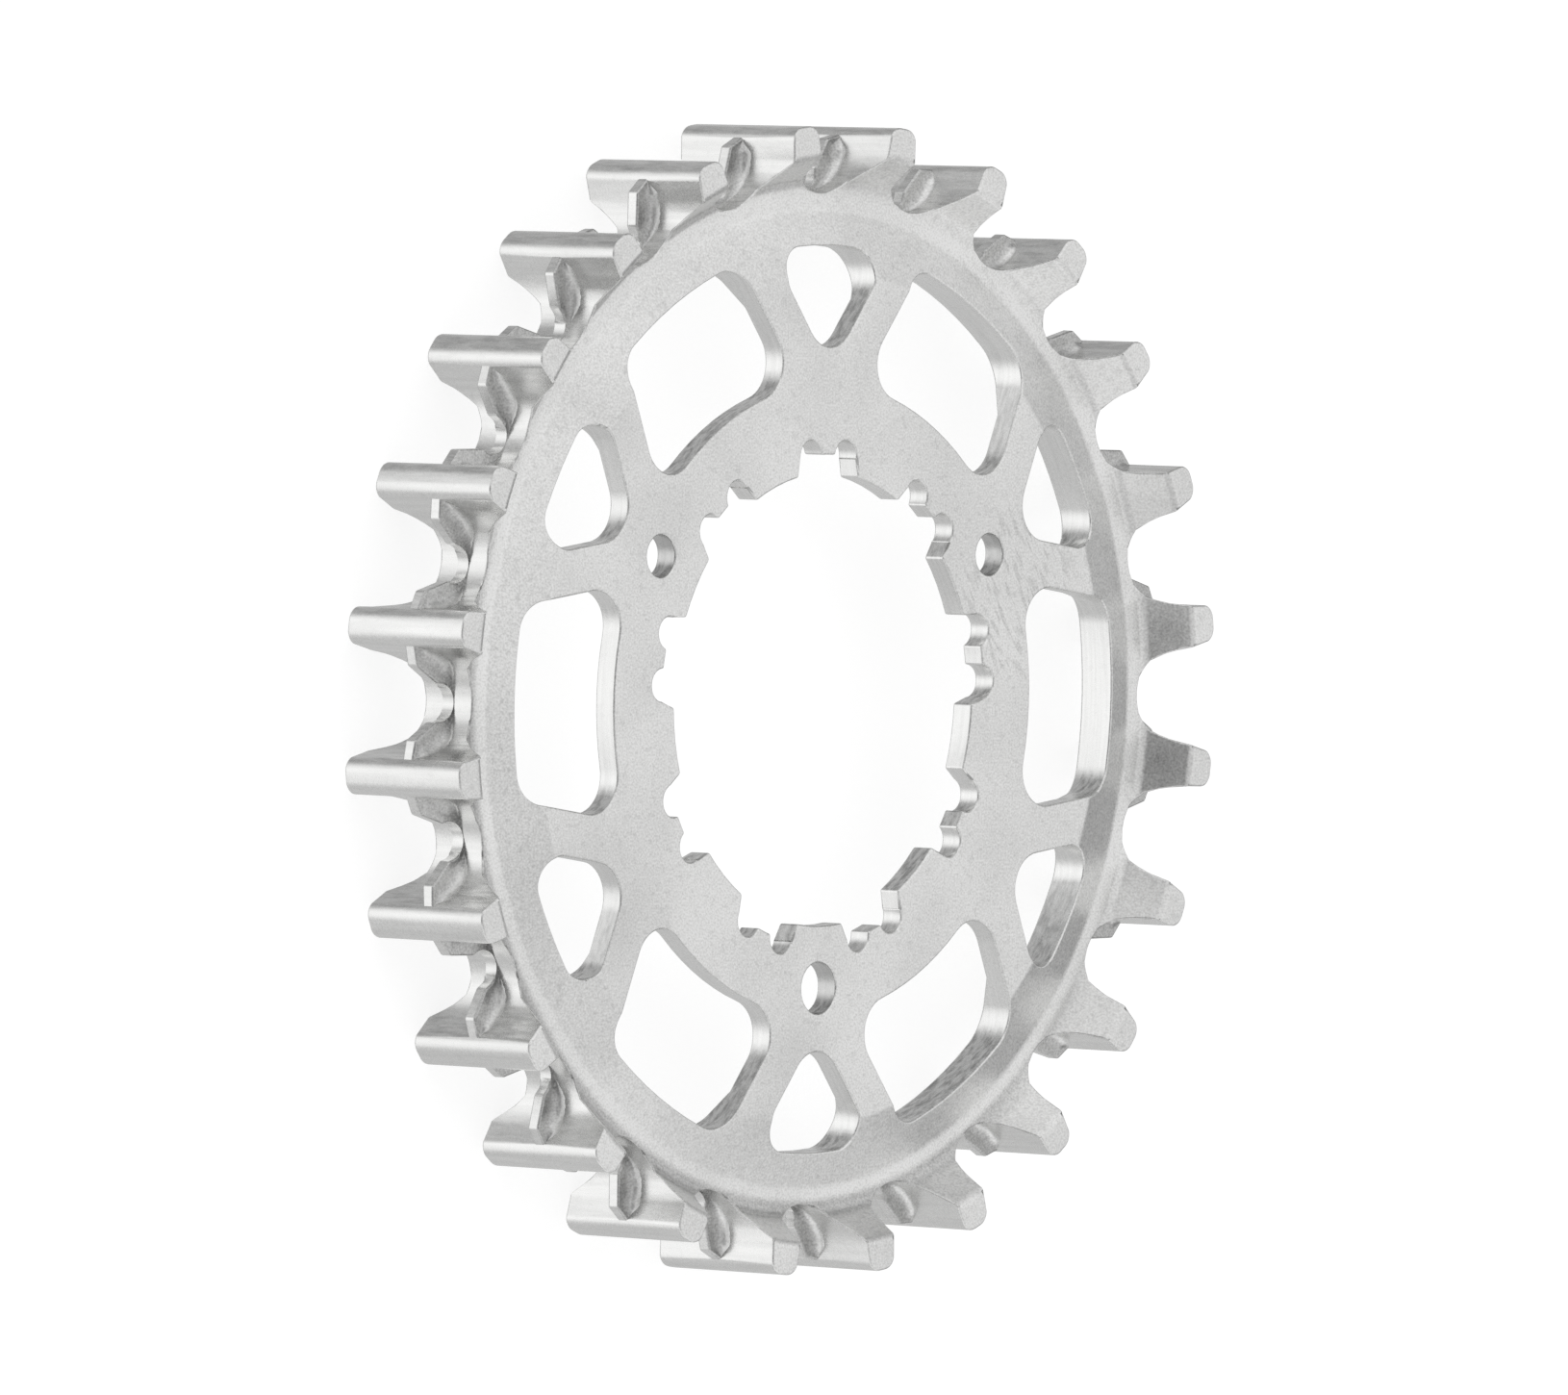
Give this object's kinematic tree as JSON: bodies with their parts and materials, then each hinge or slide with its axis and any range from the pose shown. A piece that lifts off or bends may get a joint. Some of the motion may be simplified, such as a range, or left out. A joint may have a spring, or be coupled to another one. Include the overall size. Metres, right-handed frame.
{
  "type": "belt drive rear sprocket",
  "caption": "Milled aluminium rear belt sprocket: flared teeth with a thin centre fin, a dished web with windows between its arms, and a splined bore.",
  "frame": {"origin": "on the sprocket's axis, level with the back faces of the teeth", "axes": "+Z along the axis, out of the front face; +X through the middle of a large window"},
  "size_m": [0.082, 0.082, 0.0109],
  "materials": {
    "aluminium": "bead blasted satin, with brighter milled walls"
  },
  "bodies": {
    "root": {"sprocket": "aluminium"}
  },
  "joints": []
}
